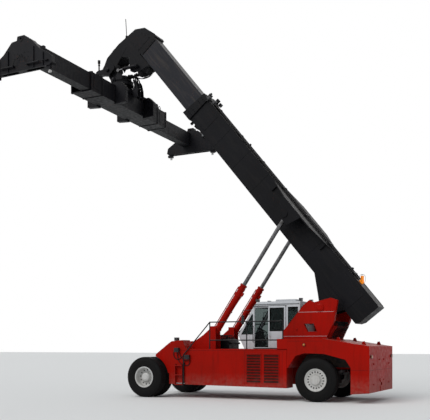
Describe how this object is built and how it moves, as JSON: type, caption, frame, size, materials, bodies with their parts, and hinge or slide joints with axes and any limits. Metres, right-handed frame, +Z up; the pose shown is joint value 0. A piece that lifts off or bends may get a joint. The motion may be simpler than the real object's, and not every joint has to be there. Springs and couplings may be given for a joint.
{
  "type": "reach stacker",
  "caption": "Four-cornered wheeled container handler with a raised telescopic boom on twin lift cylinders, a cab, and a telescopic spreader on a slewing head.",
  "frame": {"origin": "on the ground, in the middle of the whole machine's length and width", "axes": "+X towards the spreader, +Y to the machine's left, +Z up"},
  "size_m": [12.0402, 12.225, 15.2776],
  "materials": {
    "red_paint": "gloss enamel, dusty",
    "black_paint": "satin enamel, worn",
    "white_paint": "gloss enamel",
    "rim_paint": "satin enamel, dirty",
    "cast_metal": "rough, greasy",
    "rod_steel": "polished rod",
    "tyre_rubber": "dusty rubber",
    "cab_glass": "clear, slightly tinted",
    "seat_cloth": "woven seat cloth",
    "console_plastic": "moulded, matt",
    "lamp_lens": "moulded lens",
    "beacon_lens": "amber lens",
    "lock_steel": "painted yellow, worn"
  },
  "bodies": {
    "chassis": {"frame": "red_paint", "engine": "cast_metal", "housing_left": "red_paint", "housing_right": "red_paint", "deck": "red_paint", "lift_guards": "red_paint", "main_valve": "black_paint", "mudguards": "red_paint", "counterweight": "red_paint", "tower": "red_paint", "front_axle": "cast_metal", "rear_axle": "cast_metal", "rails_and_steps": "black_paint", "lamps": "lamp_lens", "exhaust": "black_paint", "cab_shell": "white_paint", "cab_glass": "cab_glass", "seat": "seat_cloth", "console": "console_plastic"},
    "door": {"cab_door": "white_paint", "door_glass": "cab_glass"},
    "front_wheels_left": {"tyres_front_left": "tyre_rubber", "rims_front_left": "rim_paint"},
    "front_wheels_right": {"tyres_front_right": "tyre_rubber", "rims_front_right": "rim_paint"},
    "knuckle_left": {"knuckle_left": "cast_metal"},
    "knuckle_right": {"knuckle_right": "cast_metal"},
    "rear_wheel_left": {"tyre_rear_left": "tyre_rubber", "rim_rear_left": "rim_paint"},
    "rear_wheel_right": {"tyre_rear_right": "tyre_rubber", "rim_rear_right": "rim_paint"},
    "steering_rod": {"steering_rod": "rod_steel"},
    "lift_barrel_left": {"lift_barrel_left": "red_paint"},
    "lift_barrel_right": {"lift_barrel_right": "red_paint"},
    "lift_rod_left": {"lift_rod_left": "rod_steel"},
    "lift_rod_right": {"lift_rod_right": "rod_steel"},
    "boom_outer": {"boom_outer": "black_paint", "boom_pipes": "black_paint", "beacon": "beacon_lens"},
    "boom_inner": {"boom_inner": "black_paint", "boom_head": "black_paint"},
    "tilt_barrels": {"tilt_barrels": "black_paint"},
    "tilt_rods": {"tilt_rods": "rod_steel"},
    "yoke": {"yoke": "black_paint"},
    "rotator": {"rotator": "black_paint"},
    "spreader_frame": {"spreader_frame": "black_paint", "spreader_valves": "black_paint"},
    "spreader_arm_left": {"spreader_arm_left": "black_paint"},
    "spreader_arm_right": {"spreader_arm_right": "black_paint"},
    "lock_front_left": {"lock_front_left": "lock_steel"},
    "lock_rear_left": {"lock_rear_left": "lock_steel"},
    "lock_front_right": {"lock_front_right": "lock_steel"},
    "lock_rear_right": {"lock_rear_right": "lock_steel"}
  },
  "joints": [
    {"name": "door_slide", "type": "slide", "parent": "chassis", "child": "door", "axis": [1, 0, 0], "range_m": [0, 0.57]},
    {"name": "front_wheels_left_spin", "type": "hinge", "parent": "chassis", "child": "front_wheels_left", "pos_m": [2.41989, 1.5, 0.75], "axis": [0, 1, 0], "continuous": true},
    {"name": "front_wheels_right_spin", "type": "hinge", "parent": "chassis", "child": "front_wheels_right", "pos_m": [2.41989, -1.5, 0.75], "axis": [0, 1, 0], "continuous": true},
    {"name": "steer_left", "type": "hinge", "parent": "chassis", "child": "knuckle_left", "pos_m": [-4.13011, 1.05, 0.75], "axis": [0, 0, 1], "range_deg": [-50, 50]},
    {"name": "steer_right", "type": "hinge", "parent": "chassis", "child": "knuckle_right", "pos_m": [-4.13011, -1.05, 0.75], "axis": [0, 0, 1], "range_deg": [-50, 50]},
    {"name": "steering_rod_slide", "type": "slide", "parent": "chassis", "child": "steering_rod", "axis": [0, 1, 0], "range_m": [-0.22, 0.22]},
    {"name": "rear_wheel_left_spin", "type": "hinge", "parent": "knuckle_left", "child": "rear_wheel_left", "pos_m": [-4.13011, 1.405, 0.75], "axis": [0, 1, 0], "continuous": true},
    {"name": "rear_wheel_right_spin", "type": "hinge", "parent": "knuckle_right", "child": "rear_wheel_right", "pos_m": [-4.13011, -1.405, 0.75], "axis": [0, 1, 0], "continuous": true},
    {"name": "boom_lift", "type": "hinge", "parent": "chassis", "child": "boom_outer", "pos_m": [-4.08011, 0, 3.25], "axis": [0, -1, 0], "range_deg": [-47.8, 10]},
    {"name": "lift_barrel_left_turn", "type": "hinge", "parent": "chassis", "child": "lift_barrel_left", "pos_m": [1.06989, 0.8, 0.9], "axis": [0, -1, 0], "range_deg": [-9.76, 2.2]},
    {"name": "lift_barrel_right_turn", "type": "hinge", "parent": "chassis", "child": "lift_barrel_right", "pos_m": [1.06989, -0.8, 0.9], "axis": [0, -1, 0], "range_deg": [-9.76, 2.2]},
    {"name": "lift_rod_left_slide", "type": "slide", "parent": "lift_barrel_left", "child": "lift_rod_left", "axis": [-0.5611, 0, 0.8278], "range_m": [-2.746, 0.582]},
    {"name": "lift_rod_right_slide", "type": "slide", "parent": "lift_barrel_right", "child": "lift_rod_right", "axis": [-0.5611, 0, 0.8278], "range_m": [-2.746, 0.582]},
    {"name": "boom_telescope", "type": "slide", "parent": "boom_outer", "child": "boom_inner", "axis": [-0.632, 0, -0.7749], "range_m": [-3.2, 2.6]},
    {"name": "spreader_tilt", "type": "hinge", "parent": "boom_inner", "child": "yoke", "pos_m": [5.22211, 0, 13.20003], "axis": [0, 1, 0], "range_deg": [-47.8, 10]},
    {"name": "tilt_barrels_turn", "type": "hinge", "parent": "boom_inner", "child": "tilt_barrels", "pos_m": [3.76721, 0, 13.1091], "axis": [0, 1, 0], "range_deg": [-4.3, 19.42]},
    {"name": "tilt_rods_slide", "type": "slide", "parent": "tilt_barrels", "child": "tilt_rods", "axis": [-0.9976, 0, 0.0689], "range_m": [-0.3387, 0.0748]},
    {"name": "spreader_slew", "type": "hinge", "parent": "yoke", "child": "rotator", "pos_m": [4.72011, 0, 12.50003], "axis": [0, 0, 1], "range_deg": [-60, 60]},
    {"name": "side_shift", "type": "slide", "parent": "rotator", "child": "spreader_frame", "axis": [0, 1, 0], "range_m": [-0.8, 0.8]},
    {"name": "arm_left_slide", "type": "slide", "parent": "spreader_frame", "child": "spreader_arm_left", "axis": [0, 1, 0], "range_m": [-3.066, 0]},
    {"name": "arm_right_slide", "type": "slide", "parent": "spreader_frame", "child": "spreader_arm_right", "axis": [0, -1, 0], "range_m": [-3.066, 0]},
    {"name": "lock_front_left_turn", "type": "hinge", "parent": "spreader_arm_left", "child": "lock_front_left", "pos_m": [5.84961, 5.9925, 11.10003], "axis": [0, 0, 1], "range_deg": [0, 90]},
    {"name": "lock_front_right_turn", "type": "hinge", "parent": "spreader_arm_right", "child": "lock_front_right", "pos_m": [5.84961, -5.9925, 11.10003], "axis": [0, 0, 1], "range_deg": [0, 90]},
    {"name": "lock_rear_left_turn", "type": "hinge", "parent": "spreader_arm_left", "child": "lock_rear_left", "pos_m": [3.59061, 5.9925, 11.10003], "axis": [0, 0, 1], "range_deg": [0, 90]},
    {"name": "lock_rear_right_turn", "type": "hinge", "parent": "spreader_arm_right", "child": "lock_rear_right", "pos_m": [3.59061, -5.9925, 11.10003], "axis": [0, 0, 1], "range_deg": [0, 90]}
  ],
  "couplings": [
    {"joint": "steer_right", "follows": "steer_left", "ratio": 1},
    {"joint": "steering_rod_slide", "follows": "steer_left", "m_per_rad": -0.2457},
    {"joint": "lift_barrel_left_turn", "follows": "boom_lift", "ratio": 0.2},
    {"joint": "lift_barrel_right_turn", "follows": "boom_lift", "ratio": 0.2},
    {"joint": "lift_rod_left_slide", "follows": "boom_lift", "m_per_rad": 3.28},
    {"joint": "lift_rod_right_slide", "follows": "boom_lift", "m_per_rad": 3.28},
    {"joint": "tilt_barrels_turn", "follows": "spreader_tilt", "ratio": -0.4},
    {"joint": "tilt_rods_slide", "follows": "spreader_tilt", "m_per_rad": 0.4},
    {"joint": "arm_right_slide", "follows": "arm_left_slide", "ratio": 1},
    {"joint": "lock_rear_left_turn", "follows": "lock_front_left_turn", "ratio": 1},
    {"joint": "lock_front_right_turn", "follows": "lock_front_left_turn", "ratio": 1},
    {"joint": "lock_rear_right_turn", "follows": "lock_front_left_turn", "ratio": 1}
  ]
}
